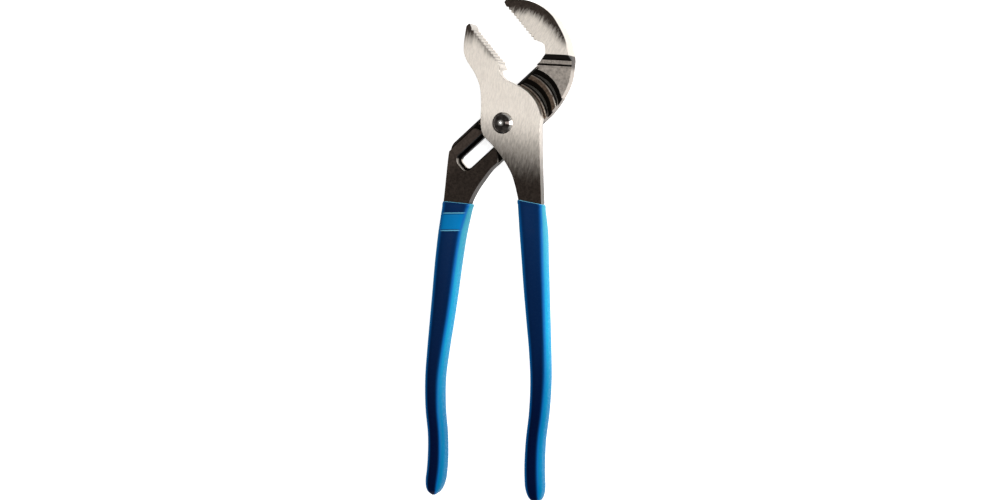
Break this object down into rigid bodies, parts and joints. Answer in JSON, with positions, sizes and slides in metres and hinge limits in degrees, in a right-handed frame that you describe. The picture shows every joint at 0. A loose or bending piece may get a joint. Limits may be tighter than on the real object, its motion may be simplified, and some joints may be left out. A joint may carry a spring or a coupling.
{
  "type": "tongue-and-groove pliers",
  "caption": "Slip-joint pliers with toothed jaws set at an angle, a slotted bridge with curved grooves, a domed pivot bolt and two dipped vinyl grips.",
  "frame": {"origin": "on the pivot axis, at the flat back face of the nut", "axes": "+Z out of the front face, towards the bolt's domed head; +Y from the handles towards the jaws; +X towards the handle of the toothed lower jaw"},
  "size_m": [0.0792, 0.2568, 0.0182],
  "materials": {
    "forged_steel": "ground and brushed jaws fading to a dark forged skin near the grips",
    "dark_chrome": "dark polished",
    "blue_vinyl": "glossy dipped vinyl"
  },
  "bodies": {
    "grooved_half": {"grooved_jaw": "forged_steel", "grooved_handle_grip": "blue_vinyl"},
    "pivot": {"pivot_bolt": "dark_chrome", "pivot_nut": "dark_chrome"},
    "tongue_half": {"tongue_jaw": "forged_steel", "tongue_handle_grip": "blue_vinyl"}
  },
  "joints": [
    {"name": "groove_shift", "type": "slide", "parent": "grooved_half", "child": "pivot", "axis": [0.7604, 0.6494, 0], "range_m": [-0.021, 0.014]},
    {"name": "jaw_swing", "type": "hinge", "parent": "pivot", "child": "tongue_half", "pos_m": [0, 0, 0.009], "axis": [0, 0, 1], "range_deg": [-8, 45]}
  ]
}
